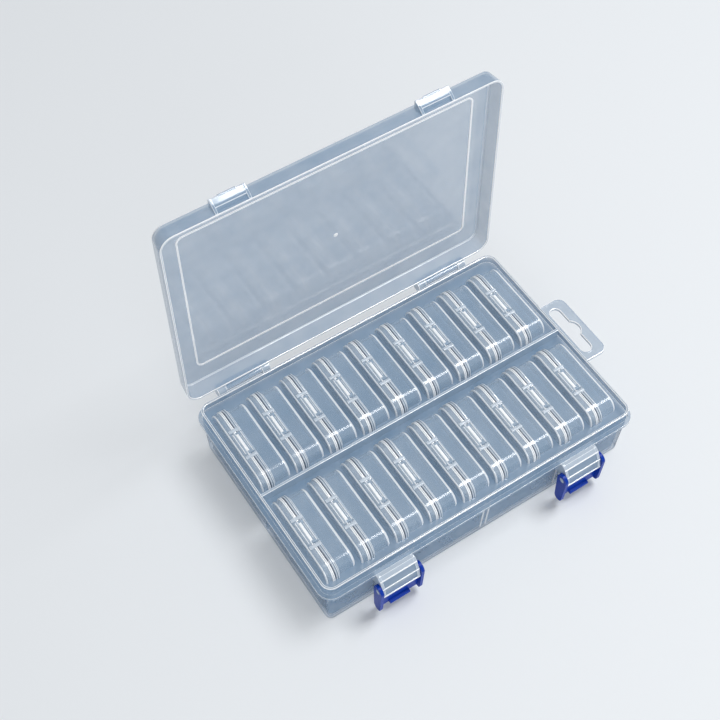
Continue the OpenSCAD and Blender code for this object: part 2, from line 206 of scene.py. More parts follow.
class OrganizerSizes(bpy.types.PropertyGroup):
    lip_rounding: radius_setting(
        "Lip rounding", "Radius along the edges of the tray's lip and ledge", 0.45, 0.1, 0.6
    )
    foot_rounding: radius_setting(
        "Foot rounding", "Radius round the tray's underside", 1.6, 0.4, 2.5
    )
    lid_rounding: radius_setting(
        "Lid rounding", "Radius along the shoulder of the case lid", 0.5, 0.1, 0.6
    )
    box_end_rounding: radius_setting(
        "Box end rounding", "Radius round the closed end of a small tub", 1.5, 0.3, 2.0
    )
    box_edge_rounding: radius_setting(
        "Box edge rounding", "Radius along the flange and the lid of a small box", 0.3, 0.1, 0.35
    )
    latch_rounding: radius_setting(
        "Latch rounding", "Radius along the edges of the latches", 0.35, 0.1, 0.45
    )
    edge_steps: IntProperty(
        name="Edge steps",
        description="Faces across a small rounded edge",
        default=2,
        min=1,
        max=4,
    )


class OrganizerFinishes(bpy.types.PropertyGroup):
    case_tint: colour_setting(
        "Case tint", "Colour that the case's plastic gives to what shows through it", "#7391AE"
    )
    box_tint: colour_setting("Small box tint", "Colour of the small boxes' plastic", "#9BB1C6")
    # white of thick and rounded edges: partly milky plastic, partly a painted highlight
    milk_and_highlight_tint: colour_setting(
        "Edge tint",
        "Colour of thick and rounded edges, where clear plastic turns white",
        "#F6F9FC",
    )
    latch_colour: colour_setting("Latch colour", "Colour of the latches' plastic", "#00329A")
    case_density: share_setting(
        "Case density", "How much one wall of the case hides of what is behind it", 0.6
    )
    box_density: share_setting(
        "Small box density", "How much one wall of a small box hides of what is behind it", 0.34
    )


class OrganizerStudio(bpy.types.PropertyGroup):
    floor_colour: colour_setting(
        "Floor colour", "Colour of the floor and of the background", "#E3E7EB"
    )
    key_power: FloatProperty(
        name="Key light",
        description="Power of the soft box overhead, in watts",
        default=26.0,
        min=0.0,
        max=100.0,
    )
    fill_power: FloatProperty(
        name="Front light",
        description="Power of the low soft box at the front, in watts",
        default=18.0,
        min=0.0,
        max=100.0,
    )
    sky_strength: FloatProperty(
        name="Fill light",
        description="Strength of the even light from all round",
        default=0.36,
        min=0.0,
        max=1.0,
    )


# ---- mesh helpers ----


def new_shape():
    """Empty mesh that records each face's milkiness, painted highlight and painted shade"""
    bm = bmesh.new()
    bm.faces.layers.float.new(MILK_AND_PAINTED_LIGHT)
    return bm


def rounded(outline):
    """Corners of a rounded rectangle from its half sizes and corner radius"""
    half_u, half_v, radius = outline
    return [(su * half_u, sv * half_v, radius) for su, sv in ((-1, -1), (1, -1), (1, 1), (-1, 1))]


def block(half_foot, half_head, foot, head, radius=0.0):
    """Corners of a block that may narrow towards its head, where its corners may be round"""
    return [
        (-half_foot, foot),
        (half_foot, foot),
        (half_head, head, radius),
        (-half_head, head, radius),
    ]


def between(a, b, part):
    """Outline part of the way from a to b"""
    return tuple(p + (q - p) * part for p, q in zip(a, b))


def draw(bm, corners, w):
    """Flat face at height w from corners (u, v) or (u, v, radius); a radius rounds its corner"""
    known = set(bm.faces)
    verts = [bm.verts.new((corner[0], corner[1], w)) for corner in corners]
    bm.faces.new(verts)
    for vert, corner in zip(verts, corners):
        if len(corner) > 2 and corner[2] > 0:
            bmesh.ops.bevel(
                bm,
                geom=[vert],
                offset=corner[2],
                offset_type="OFFSET",
                affect="VERTICES",
                segments=ARC_STEPS,
                profile=0.5,
                material=-1,
            )
    return (set(bm.faces) - known).pop()


def place(bm, known, turn):
    """Turn the vertices that came after known into their place"""
    bmesh.ops.transform(bm, matrix=turn, verts=[v for v in bm.verts if v not in known])


def loft(bm, rings, turn=Matrix.Identity(4)):
    """Closed shell through outlines, each given as (outline, w)"""
    known = set(bm.verts)
    faces = [draw(bm, rounded(outline), w) for outline, w in rings]
    loops = [list(face.edges) for face in faces]
    bmesh.ops.delete(bm, geom=faces[1:-1], context="FACES_ONLY")
    for near, far in zip(loops, loops[1:]):
        bmesh.ops.bridge_loops(bm, edges=near + far)
    place(bm, known, turn)


def slab(bm, corners, w0, w1, turn=Matrix.Identity(4), hole=None, pale=0.0):
    """Solid between w0 and w1 with the outline of corners, and with a hole if one is given"""
    w0, w1 = min(w0, w1), max(w0, w1)
    known, known_faces = set(bm.verts), set(bm.faces)
    faces = [draw(bm, corners, w0)]
    if hole:
        inner = draw(bm, hole, w0)
        edges = list(faces[0].edges) + list(inner.edges)
        bmesh.ops.delete(bm, geom=[faces[0], inner], context="FACES_ONLY")
        filled = bmesh.ops.triangle_fill(bm, use_beauty=True, use_dissolve=False, edges=edges)
        faces = [g for g in filled["geom"] if isinstance(g, bmesh.types.BMFace)]
    made = bmesh.ops.extrude_face_region(bm, geom=faces)
    moved = [g for g in made["geom"] if isinstance(g, bmesh.types.BMVert)]
    bmesh.ops.translate(bm, vec=(0, 0, w1 - w0), verts=moved)
    place(bm, known, turn)
    for face in set(bm.faces) - known_faces:
        face[bm.faces.layers.float[MILK_AND_PAINTED_LIGHT]] = pale


def pin(bm, radius, x0, x1, y, z, steps=PIN_STEPS, pale=0.0):
    """Round pin along X"""
    known_faces = set(bm.faces)
    bmesh.ops.create_cone(
        bm,
        cap_ends=True,
        cap_tris=False,
        segments=steps,
        radius1=radius,
        radius2=radius,
        depth=x1 - x0,
        matrix=Matrix.Translation(((x0 + x1) / 2, y, z)) @ Matrix.Rotation(math.pi / 2, 4, "Y"),
    )
    for face in set(bm.faces) - known_faces:
        face[bm.faces.layers.float[MILK_AND_PAINTED_LIGHT]] = pale


def soften(bm, radius, steps=2, pale=1.0, where=None):
    """Round the sharp edges that where picks by their two ends, and make them pale: partly
    the milky look of thick plastic, partly a painted highlight
    """
    layer = bm.faces.layers.float[MILK_AND_PAINTED_LIGHT]
    bmesh.ops.recalc_face_normals(bm, faces=bm.faces)
    sharp = [
        edge
        for edge in bm.edges
        if edge.is_manifold
        and edge.calc_face_angle(0.0) > ROUNDED_FROM
        and (where is None or all(where(v.co) for v in edge.verts))
    ]
    made = bmesh.ops.bevel(
        bm,
        geom=sharp,
        offset=radius,
        offset_type="OFFSET",
        affect="EDGES",
        segments=steps,
        profile=0.5,
        material=-1,
        clamp_overlap=True,
    )
    for face in made["faces"]:
        face[layer] = pale


def at_height(z):
    """Picks the vertices at a height"""
    return lambda co: abs(co.z - z) < 0.01


def tone(bm, pale, where):
    """Paint the faces whose middle where picks: pale above zero (milky plastic and painted
    highlight), dark below zero (painted shade)
    """
    layer = bm.faces.layers.float[MILK_AND_PAINTED_LIGHT]
    for face in bm.faces:
        if where(face.calc_center_median()):
            face[layer] = max(face[layer], pale) if pale > 0 else pale


def to_mesh(bm, name, turn=Matrix.Identity(4)):
    """Mesh in metres of a closed shape, with its faces pointing outwards"""
    if not all(edge.is_manifold for edge in bm.edges):
        raise RuntimeError(f"{name} has open edges")
    bmesh.ops.recalc_face_normals(bm, faces=bm.faces)
    bm.transform(Matrix.Diagonal((MM, MM, MM, 1)) @ turn)
    mesh = bpy.data.meshes.new(name)
    bm.to_mesh(mesh)
    bm.free()
    mesh.polygons.foreach_set("use_smooth", [True] * len(mesh.polygons))
    mesh.set_sharp_from_angle(angle=CREASED_FROM)
    return mesh


def add_piece(mesh, body, material, nodes=()):
    """Object of a finished mesh that moves with a body and stands for its nodes"""
    mesh.materials.clear()
    mesh.materials.append(material)
    obj = bpy.data.objects.new(mesh.name, mesh)
    bpy.context.scene.collection.objects.link(obj)
    weighted = obj.modifiers.new("Even shading", "WEIGHTED_NORMAL")
    weighted.keep_sharp = True
    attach(obj, body)
    if nodes:
        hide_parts(*nodes)
    return obj


# ---- materials ----


def add_node(tree, kind, inputs=(), **settings):
    """One node with its settings; an input is a plain value or a socket to link"""
    node = tree.nodes.new(kind)
    for name, value in settings.items():
        setattr(node, name, value)
    for key, value in dict(inputs).items():
        if isinstance(value, bpy.types.NodeSocket):
            tree.links.new(value, node.inputs[key])
        else:
            node.inputs[key].default_value = value
    return node


def blank_material(name):
    """New material whose nodes are still to be added"""
    material = bpy.data.materials.new(name)
    material.use_nodes = True
    material.node_tree.nodes.clear()
    return material


def clear_polypropylene(name, tint, milk_and_highlight_tint, density, index, roughness):
    """Natural polypropylene, injection moulded: see-through and a little milky. Thick and rounded
    edges are drawn white, partly from the milky scatter of light in the plastic and partly as a
    painted highlight, and along joints and grooves a painted shade darkens it. The cooling melt
    leaves faint clouds some 15 mm across and a slight orange peel some 8 mm across."""
    if name in bpy.data.materials:
        return bpy.data.materials[name]
    cloud_size, peel_size, peel_depth = 15 * MM, 8 * MM, 0.1 * MM
    most_milky = 0.08
    # painted shade: the dark blue-grey of the dark lines and bands
    painted_shade_colour = colour("#33445C")
    edge_density, slant_density = 0.75, 0.35
    let_through = 0.75
    material = blank_material(name)
    tree = material.node_tree
    where = add_node(tree, "ShaderNodeTexCoord").outputs["Object"]
    edge = add_node(tree, "ShaderNodeAttribute", attribute_name=MILK_AND_PAINTED_LIGHT).outputs["Fac"]
    painted_shade = add_node(
        tree, "ShaderNodeMath", {0: edge, 1: -1.0}, operation="MULTIPLY", use_clamp=True
    ).outputs[0]
    marked = add_node(tree, "ShaderNodeMath", {0: edge}, operation="ABSOLUTE").outputs[0]
    clouds = add_node(
        tree, "ShaderNodeTexNoise", {"Vector": where, "Scale": 1 / cloud_size, "Detail": 1.0}
    ).outputs["Fac"]
    peel = add_node(
        tree, "ShaderNodeTexNoise", {"Vector": where, "Scale": 1 / peel_size, "Detail": 1.0}
    ).outputs["Fac"]
    milky = add_node(
        tree,
        "ShaderNodeMapRange",
        {"Value": clouds, "From Min": 0.3, "From Max": 0.7, "To Max": most_milky},
    ).outputs["Result"]
    # white where the plastic is milky and where edges carry a painted highlight
    white = add_node(tree, "ShaderNodeMath", {0: edge, 1: milky}, operation="MAXIMUM").outputs[0]
    base = add_node(
        tree, "ShaderNodeMix", {0: white, 6: tint, 7: milk_and_highlight_tint}, data_type="RGBA"
    ).outputs[2]
    base = add_node(
        tree, "ShaderNodeMix", {0: painted_shade, 6: base, 7: painted_shade_colour}, data_type="RGBA"
    ).outputs[2]
    # a wall seen at a low angle is looked through lengthways, so it hides more
    slant = add_node(tree, "ShaderNodeLayerWeight", {"Blend": 0.35}).outputs["Facing"]
    lengthways = add_node(tree, "ShaderNodeMath", {0: slant, 1: 2.0}, operation="POWER").outputs[0]
    wall = add_node(
        tree,
        "ShaderNodeMath",
        {0: lengthways, 1: slant_density, 2: density},
        operation="MULTIPLY_ADD",
    ).outputs[0]
    # a sight line meets both faces of a wall, and the haze of the wall counts once
    leaving = add_node(tree, "ShaderNodeNewGeometry").outputs["Backfacing"]
    entering = add_node(
        tree, "ShaderNodeMath", {0: 1.0, 1: leaving}, operation="SUBTRACT"
    ).outputs[0]
    haze = add_node(
        tree, "ShaderNodeMath", {0: wall, 1: entering}, operation="MULTIPLY"
    ).outputs[0]
    hidden = add_node(
        tree,
        "ShaderNodeMath",
        {0: marked, 1: edge_density, 2: haze},
        operation="MULTIPLY_ADD",
        use_clamp=True,
    ).outputs[0]
    # light that is scattered in clear plastic mostly goes on, so it brightens what lies behind
    path = add_node(tree, "ShaderNodeLightPath").outputs
    lighting = add_node(
        tree,
        "ShaderNodeMath",
        {0: path["Is Shadow Ray"], 1: path["Is Diffuse Ray"]},
        operation="MAXIMUM",
    ).outputs[0]
    passed = add_node(
        tree, "ShaderNodeMath", {0: lighting, 1: -let_through, 2: 1.0}, operation="MULTIPLY_ADD"
    ).outputs[0]
    hidden = add_node(
        tree, "ShaderNodeMath", {0: hidden, 1: passed}, operation="MULTIPLY"
    ).outputs[0]
    gloss = add_node(
        tree,
        "ShaderNodeMapRange",
        {
            "Value": clouds,
            "From Min": 0.2,
            "From Max": 0.8,
            "To Min": roughness,
            "To Max": roughness + 0.03,
        },
    ).outputs["Result"]
    bumps = add_node(
        tree, "ShaderNodeBump", {"Height": peel, "Strength": 0.1, "Distance": peel_depth}
    ).outputs["Normal"]
    shader = add_node(
        tree,
        "ShaderNodeBsdfPrincipled",
        # 1.49 for the plastic itself, raised because Alpha thins the gloss as well as the haze
        {"Base Color": base, "Roughness": gloss, "Alpha": hidden, "Normal": bumps, "IOR": index},
    )
    add_node(tree, "ShaderNodeOutputMaterial", {"Surface": shader.outputs[0]})
    return material


def blue_polypropylene(tint):
    """Polypropylene dyed through and injection moulded: an even deep blue with a soft gloss and a
    fine grain from the spark-eroded mould. Its rounded edges get a painted highlight, a lighter
    blue."""
    # the real grain is about 0.1 mm and is drawn at 0.4 mm so that it shows
    grain_size, flow_size, grain_depth = 0.4 * MM, 6 * MM, 0.1 * MM
    # painted highlight: the rounded edges are mixed towards a lighter blue
    highlight_colour, edge_highlight, most_uneven = colour("#3C68E0"), 0.18, 0.06
    material = blank_material("blue polypropylene, moulded")
    tree = material.node_tree
    where = add_node(tree, "ShaderNodeTexCoord").outputs["Object"]
    edge = add_node(tree, "ShaderNodeAttribute", attribute_name=MILK_AND_PAINTED_LIGHT).outputs["Fac"]
    grain = add_node(
        tree, "ShaderNodeTexNoise", {"Vector": where, "Scale": 1 / grain_size, "Detail": 4.0}
    ).outputs["Fac"]
    flow = add_node(
        tree, "ShaderNodeTexNoise", {"Vector": where, "Scale": 1 / flow_size, "Detail": 2.0}
    ).outputs["Fac"]
    uneven = add_node(
        tree,
        "ShaderNodeMapRange",
        {"Value": flow, "From Min": 0.3, "From Max": 0.7, "To Max": most_uneven},
    ).outputs["Result"]
    # the painted highlight on the edges, and the flow's random tone
    highlight_and_flow = add_node(
        tree, "ShaderNodeMath", {0: edge, 1: edge_highlight, 2: uneven}, operation="MULTIPLY_ADD"
    ).outputs[0]
    base = add_node(
        tree, "ShaderNodeMix", {0: highlight_and_flow, 6: tint, 7: highlight_colour}, data_type="RGBA"
    ).outputs[2]
    gloss = add_node(
        tree,
        "ShaderNodeMapRange",
        {"Value": grain, "From Min": 0.3, "From Max": 0.7, "To Min": 0.26, "To Max": 0.38},
    ).outputs["Result"]
    bumps = add_node(
        tree, "ShaderNodeBump", {"Height": grain, "Strength": 0.12, "Distance": grain_depth}
    ).outputs["Normal"]
    shader = add_node(
        tree,
        "ShaderNodeBsdfPrincipled",
        {
            "Base Color": base,
            "Roughness": gloss,
            "Normal": bumps,
            "IOR": 1.35,
            "Specular IOR Level": 0.3,
        },
    )
    add_node(tree, "ShaderNodeOutputMaterial", {"Surface": shader.outputs[0]})
    return material


def case_plastic(context):
    """Plastic of the tray, the lid and what is moulded on them"""
    finish = context.scene.organizer_finishes
    return clear_polypropylene(
        "clear polypropylene, moulded",
        finish.case_tint,
        finish.milk_and_highlight_tint,
        finish.case_density,
        index=2.0,
        roughness=0.06,
    )


def box_plastic(context):
    """Plastic of the small boxes, thinner and clearer"""
    finish = context.scene.organizer_finishes
    return clear_polypropylene(
        "clear polypropylene, thin-wall moulded",
        finish.box_tint,
        finish.milk_and_highlight_tint,
        finish.box_density,
        index=2.1,
        roughness=0.16,
    )


# ---- operators ----


class ORGANIZER_OT_tray(bpy.types.Operator):
    """Build the tray: floor, leaning walls, ledge, lip, divider and the locating ribs"""

    bl_idname = "organizer.tray"
    bl_label = "Tray"

    def execute(self, context):
        sizes = context.scene.organizer_sizes
        plastic = case_plastic(context)
        lip = sizes.lip_rounding / MM
        steps = sizes.edge_steps
        bm = new_shape()
        loft(
            bm,
            [
                (FOOT, 0.0),
                (between(FOOT, LIP, WALL_TOP_PART), LEDGE_UNDERSIDE),
                (LEDGE, LEDGE_UNDERSIDE),
                (LEDGE, LEDGE_TOP),
                (LIP, LEDGE_TOP),
                (LIP, LIP_TOP),
                (MOUTH, LIP_TOP),
                (FLOOR, FLOOR_TOP),
            ],
        )
        # the rounded edges are drawn pale, partly milky thick plastic and partly painted
        # highlight; the lip's top gets a painted highlight too
        soften(bm, sizes.foot_rounding / MM, 4, 0.55, at_height(0.0))
        soften(bm, 1.0, 3, 0.3, at_height(FLOOR_TOP))
        soften(bm, lip, steps, 0.8, at_height(LEDGE_UNDERSIDE))
        soften(bm, lip, steps, 1.0, at_height(LEDGE_TOP))
        soften(bm, lip, steps, 1.0, at_height(LIP_TOP))
        tone(bm, 0.5, at_height(LIP_TOP))
        add_piece(to_mesh(bm, "tray"), "case_base", plastic, ["case_base"])

        # the ends go half way into the end walls, and the top stays just below the lip
        bm = new_shape()
        foot, top = FLOOR_TOP - 0.5, LIP_TOP - 0.05
        outline = [(-92.95, foot), (92.95, foot), (94.66, top), (-94.66, top)]
        half = DIVIDER_THICKNESS / 2
        slab(bm, outline, -half, half, ACROSS, pale=0.1)
        # the divider is a little milky all over; its top edges carry a painted highlight
        soften(bm, 0.25, steps, 0.9, lambda co: co.z > LEDGE_UNDERSIDE)
        tone(bm, 0.3, lambda co: co.z > LIP_TOP - 0.25)
        add_piece(to_mesh(bm, "divider"), "case_base", plastic)

        bm = new_shape()
        rib = [(-60.65, foot), (-59.15, foot), (-60.49, 29.5), (-61.99, 29.5)]
        for x in (pair + step for pair in RIB_PAIRS for step in RIBS_OF_A_PAIR):
            slab(bm, rib, x - RIB_WIDTH / 2, x + RIB_WIDTH / 2, ALONG_X, pale=0.6)
        soften(bm, 0.25, steps)
        add_piece(to_mesh(bm, "locating_ribs"), "case_base", plastic)
        return {"FINISHED"}


class ORGANIZER_OT_hang_tab(bpy.types.Operator):
    """Build the hang tab with its slot"""

    bl_idname = "organizer.hang_tab"
    bl_label = "Hang tab"

    def execute(self, context):
        sizes = context.scene.organizer_sizes
        x, y = 103.5, -1.0  # middle of the slot
        root, tip, half_tab, tab_radius = 96.9, 113.2, 21.2, 5.0
        half_width, half_length = 3.2, 16.4
        end = half_width - 0.01
        hump, half_hump, hump_foot, hump_radius = 5.85, 2.9, 4.9, 2.6
        slot = [
            (-half_width, -half_length, end),
            (half_width, -half_length, end),
            (half_width, -hump_foot),
            (hump, -half_hump, hump_radius),
            (hump, half_hump, hump_radius),
            (half_width, hump_foot),
            (half_width, half_length, end),
            (-half_width, half_length, end),
        ]
        tab = [
            (root, y - half_tab),
            (tip, y - half_tab, tab_radius),
            (tip, y + half_tab, tab_radius),
            (root, y + half_tab),
        ]
        bm = new_shape()
        slab(
            bm,
            tab,
            LEDGE_TOP - 2.0,
            LEDGE_TOP - 0.02,
            hole=[(x + corner[0], y + corner[1], *corner[2:]) for corner in slot],
        )
        soften(bm, sizes.lip_rounding / MM, sizes.edge_steps, 1.0)
        mesh = to_mesh(bm, "hang_tab")
        add_piece(mesh, "case_base", case_plastic(context))
        return {"FINISHED"}


class ORGANIZER_OT_brackets(bpy.types.Operator):
    """Build the two ribbed brackets that carry the latches, with their pivot stubs"""

    bl_idname = "organizer.brackets"
    bl_label = "Latch brackets"

    def execute(self, context):
        def point(out, drop, *radius):
            """Place out from the ledge's edge and down from its top"""
            return (-LEDGE[1] - out, LEDGE_TOP + drop, *radius)

        sizes = context.scene.organizer_sizes
        front = [(2.0, -0.12), (4.08, -2.0), (6.48, -6.25), (7.78, -12.0)]
        back = [(6.3, -12.0), (5.0, -6.6), (2.8, -2.9), (1.4, -1.6)]
        panel = [point(-2.4, -0.12), *(point(*p) for p in front), *(point(*p) for p in back)]
        panel.append(point(-2.4, -1.6))
        side = [
            point(-2.7, -0.03),
            point(2.1, -0.03, 0.8),
            point(4.2, -1.9),
            point(6.6, -6.2),
            point(7.9, -12.0, 0.5),
            point(4.28, -12.0),
            point(3.9, -8.9, 2.8),
            point(-1.2, -8.4, 2.0),
            point(-2.7, -10.0),
        ]
        ridges = [(4.05, -1.95, 0.4), (6.45, -6.2, 0.35), (7.7, -11.8, 0.45)]
        # half lengths along the case
        half_panel, half_ridge = 10.4, 10.9
        side_inner, side_outer = 9.5, 11.0
        stub_inner, stub_outer = 9.7, 12.95
        # painted shade on the steep lower half, and a painted highlight on the shelf above it
        steep_from = point(3.5, 0)[0]
        for name, pivot in LATCH_PIVOTS.items():
            x, y, z = pivot
            bm = new_shape()
            slab(bm, panel, x - half_panel, x + half_panel, ALONG_X)
            tone(bm, -0.2, lambda co: co.y < steep_from)
            tone(bm, 0.35, lambda co: co.y > steep_from)
            for end in (-1, 1):
                slab(bm, side, x + end * side_inner, x + end * side_outer, ALONG_X, pale=0.35)
            soften(bm, 0.3, sizes.edge_steps, 1.0)
            # the ridges are painted pale as highlights
            for out, drop, radius in ridges:
                pin(
                    bm,
                    radius,
                    x - half_ridge,
                    x + half_ridge,
                    *point(out, drop),
                    RIDGE_STEPS,
                    0.85,
                )
            for start in (-stub_outer, stub_inner):
                stub = x + start
                pin(bm, PIN_RADIUS, stub, stub + stub_outer - stub_inner, y, z, pale=0.3)
            mesh = to_mesh(bm, f"latch_bracket_{name}")
            add_piece(mesh, "case_base", case_plastic(context))
        return {"FINISHED"}


class ORGANIZER_OT_hinge_seats(bpy.types.Operator):
    """Build the ears and pins that carry the lid; the ears' heels stop the open lid"""

    bl_idname = "organizer.hinge_seats"
    bl_label = "Hinge seats"

    def execute(self, context):
        sizes = context.scene.organizer_sizes
        profile = [
            (-3.8, -2.9),
            (2.9, -2.9, 1.2),
            (2.9, 3.4, 0.5),
            (-0.4, 3.2),
            (-2.9, 3.0, 2.4),
            (-2.9, -0.8),
            (-3.8, -0.8),
        ]
        ear = [(HINGE.y + corner[0], HINGE.z + corner[1], *corner[2:]) for corner in profile]
        ear_inner, ear_outer, half_pin = 11.0, 16.0, 11.5
        bm = new_shape()
        for middle in HINGE_MIDDLES:
            for end in (-1, 1):
                inner, outer = middle + end * ear_inner, middle + end * ear_outer
                slab(bm, ear, inner, outer, ALONG_X, pale=0.2)
        soften(bm, 0.3, sizes.edge_steps, 1.0)
        for middle in HINGE_MIDDLES:
            start, end = middle - half_pin, middle + half_pin
            pin(bm, PIN_RADIUS, start, end, HINGE.y, HINGE.z, pale=0.3)
        mesh = to_mesh(bm, "hinge_seats")
        add_piece(mesh, "case_base", case_plastic(context))
        return {"FINISHED"}


class ORGANIZER_OT_lid(bpy.types.Operator):
    """Build the case lid: shell, raised border, gate mark, catches and snap-on knuckles"""

    bl_idname = "organizer.lid"
    bl_label = "Case lid"

    def execute(self, context):
        sizes = context.scene.organizer_sizes
        plastic = case_plastic(context)
        bm = new_shape()
        loft(
            bm,
            [
                (LID_PLATE, LID_OUTER_Z),
                (LID_SHOULDER, LID_SHOULDER_Z),
                (LEDGE, LID_RIM_Z),
                (LID_RIM_INSIDE, LID_RIM_Z),
                (LID_PLATE_INSIDE, LID_INNER_Z),
            ],
        )
        # the shoulder and rim edges are drawn pale, partly milky plastic and partly painted
        # highlight
        soften(bm, sizes.lid_rounding / MM, 3, 0.9, at_height(LID_OUTER_Z))
        soften(bm, sizes.lid_rounding / MM, 3, 0.9, at_height(LID_SHOULDER_Z))
        soften(bm, 0.38, sizes.edge_steps, 1.0, at_height(LID_RIM_Z))
        soften(bm, 0.8, 3, 0.5, at_height(LID_INNER_Z))
        tone(bm, 0.6, at_height(LID_RIM_Z))
        mesh = to_mesh(bm, "lid_shell", STAND_OPEN)
        add_piece(mesh, "case_lid", plastic, ["case_lid"])

        bm = new_shape()
        slab(
            bm,
            rounded(LID_BORDER),
            LID_INNER_Z - 0.34,
            LID_INNER_Z + 0.05,
            hole=rounded(LID_BORDER_INSIDE),
        )
        bmesh.ops.create_cone(
            bm,
            cap_ends=True,
            cap_tris=False,
            segments=20,
            radius1=0.8,
            radius2=1.4,
            depth=0.4,
            matrix=Matrix.Translation((*GATE_MARK, LID_INNER_Z - 0.15)),
        )
        # the raised border and the gate mark are painted white all over, as a highlight
        tone(bm, 1.0, lambda co: True)
        mesh = to_mesh(bm, "lid_border", STAND_OPEN)
        add_piece(mesh, "case_lid", plastic)

        def catch_point(out, up, *radius):
            """Place out from the lid's rim and up from it, on the shut lid"""
            return (-LEDGE[1] - out, LID_RIM_Z + up, *radius)

        def catch_corners(reach, top, start):
            """Rounded ramp from the rim up to the crest that the latch's nose grips"""
            ramp = [(0.05, start), (0.5, 0.34), (0.84, 0.66), (1.0, 0.935), (0.94, 1.0)]
            points = [catch_point(part * reach, rise * top) for part, rise in ramp]
            return [catch_point(-1.7, start * top), *points, catch_point(-1.7, top)]

        ramp_corners = catch_corners(4.15, 7.5, 0.3)
        end_corners = catch_corners(4.2, 7.55, 0.04)
        lug_corners = [
            catch_point(3.2, 5.2),
            catch_point(4.4, 7.0, 0.4),
            catch_point(4.2, 7.7, 0.3),
            catch_point(0.5, 7.7),
        ]
        # half lengths along the case
        half_ramp, half_lug, end_inner, end_outer = 8.6, 5.0, 8.2, 9.75
        bm = new_shape()
        for pivot in LATCH_PIVOTS.values():
            x = pivot.x
            slab(bm, ramp_corners, x - half_ramp, x + half_ramp, ALONG_X)
            for end in (-1, 1):
                inner, outer = x + end * end_inner, x + end * end_outer
                slab(bm, end_corners, inner, outer, ALONG_X, pale=0.1)
            slab(bm, lug_corners, x - half_lug, x + half_lug, ALONG_X, pale=0.2)
        # the catches' edges are drawn pale, milky plastic with a painted highlight
        soften(bm, 0.3, sizes.edge_steps, 0.6)
        mesh = to_mesh(bm, "lid_catches", STAND_OPEN)
        add_piece(mesh, "case_lid", plastic)

        # each knuckle is three quarters of a tube, open below so that it snaps over its pin
        bm = new_shape()
        outside, length = 2.9, 21.6
        first_edge = Matrix.Rotation(math.radians(145), 3, "X")
        for middle in HINGE_MIDDLES:
            x0, x1 = middle - length / 2, middle + length / 2
            known = set(bm.verts)
            corners = [(x0, BORE_RADIUS), (x1, BORE_RADIUS), (x1, outside), (x0, outside)]
            start = bm.faces.new([bm.verts.new((x, 0.0, z)) for x, z in corners])
            bmesh.ops.rotate(bm, cent=(0, 0, 0), matrix=first_edge, verts=start.verts)
            bmesh.ops.spin(
                bm,
                geom=[start, *start.edges, *start.verts],
                cent=(0, 0, 0),
                axis=(1, 0, 0),
                angle=math.radians(-290),
                steps=PIN_STEPS,
                use_duplicate=False,
            )
            place(bm, known, Matrix.Translation((0, HINGE.y, HINGE.z)))
            leaf = [(-3.9, 0.3), (-1.75, 0.3), (-0.9, 2.5), (-0.9, 2.86), (-3.9, 2.86)]
            slab(bm, [(HINGE.y + y, HINGE.z + z) for y, z in leaf], x0, x1, ALONG_X)
        soften(bm, 0.2, sizes.edge_steps, 0.8)
        mesh = to_mesh(bm, "lid_knuckles", STAND_OPEN)
        add_piece(mesh, "case_lid", plastic)
        return {"FINISHED"}


class ORGANIZER_OT_latches(bpy.types.Operator):
    """Build the two blue latches as they hang: cheeks, cross plate, hook nose and thumb lip"""

    bl_idname = "organizer.latches"
    bl_label = "Latches"

    def execute(self, context):
        sizes = context.scene.organizer_sizes
        plastic = blue_polypropylene(context.scene.organizer_finishes.latch_colour)
        rounding = sizes.latch_rounding / MM
        cheek = [(3.7, 3.7, 3.68), (-3.7, 3.7, 3.68), (-2.6, -19.45, 2.5), (2.6, -19.45, 2.5)]
        bore = rounded((BORE_RADIUS, BORE_RADIUS, BORE_RADIUS - 0.01))
        plate = [
            (-0.25, -8.6, 0.4),
            (-0.25, -19.05, 0.5),
            (2.75, -19.05, 0.4),
            (2.75, -17.85, 0.4),
            (1.25, -17.85),
            (1.25, -8.6, 0.4),
        ]
        nose = [(0.2, -16.45), (-1.9, -16.55, 0.7), (-2.2, -18.4, 0.5), (0.2, -18.65)]
        # half lengths along the case
        cheek_inner, cheek_outer, half_plate, half_nose = 11.2, 13.0, 11.6, 6.0
        for name, pivot in LATCH_PIVOTS.items():
            hang = Matrix.Translation(pivot) @ ALONG_X
            bm = new_shape()
            for end in (-1, 1):
                slab(bm, cheek, end * cheek_inner, end * cheek_outer, hang, hole=bore)
            slab(bm, plate, -half_plate, half_plate, hang)
            slab(bm, nose, -half_nose, half_nose, hang, pale=0.3)
            # the rounded edges carry a painted highlight, drawn in a lighter blue
            soften(bm, rounding, sizes.edge_steps, 0.6)
            mesh = to_mesh(bm, f"latch_{name}_arm")
            add_piece(mesh, f"latch_{name}", plastic, [f"latch_{name}"])
        return {"FINISHED"}


def carve(mesh, cutter):
    """Mesh with the cutter's boxes taken out of it"""
    objects = [bpy.data.objects.new(m.name, m) for m in (mesh, cutter)]
    for obj in objects:
        bpy.context.scene.collection.objects.link(obj)
    taken = objects[0].modifiers.new("Slots", "BOOLEAN")
    taken.object = objects[1]
    taken.operation = "DIFFERENCE"
    taken.solver = "EXACT"
    taken.use_self = True
    bpy.context.view_layer.update()
    graph = bpy.context.evaluated_depsgraph_get()
    carved = bpy.data.meshes.new_from_object(objects[0].evaluated_get(graph))
    for obj in objects:
        bpy.data.objects.remove(obj)
    return carved


